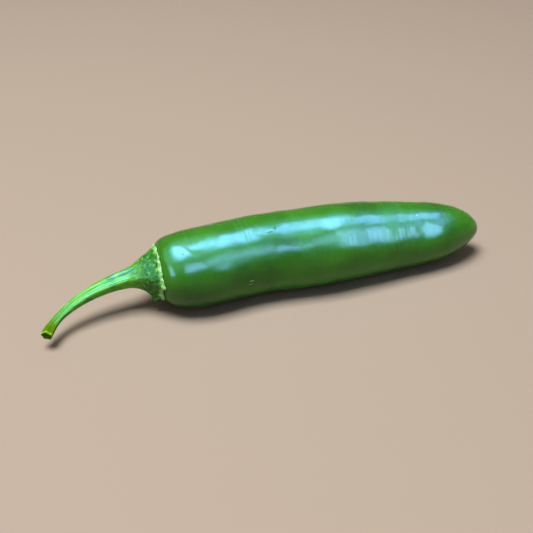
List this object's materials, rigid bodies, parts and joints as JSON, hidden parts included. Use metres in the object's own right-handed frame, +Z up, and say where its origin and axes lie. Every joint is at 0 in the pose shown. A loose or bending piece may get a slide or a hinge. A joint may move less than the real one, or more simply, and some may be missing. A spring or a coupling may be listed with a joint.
{
  "type": "serrano pepper",
  "caption": "Fresh serrano pepper lying on its side: a glossy green pod with a blunt tip and a curved stalk that widens into a ragged calyx.",
  "frame": {"origin": "on the surface that the pepper lies on, under the middle of its bounding box", "axes": "+X from the stalk's cut end towards the pod's tip, +Z up, and the stalk curls towards -Y"},
  "size_m": [0.1142, 0.021, 0.0198],
  "materials": {
    "pod_skin": "waxy, very glossy dark green skin with faint ripples round the pod",
    "stalk": "half matte yellow-green stalk, paler along the calyx's margin"
  },
  "bodies": {
    "root": {"pod": "pod_skin", "stalk_with_calyx": "stalk"}
  },
  "joints": []
}
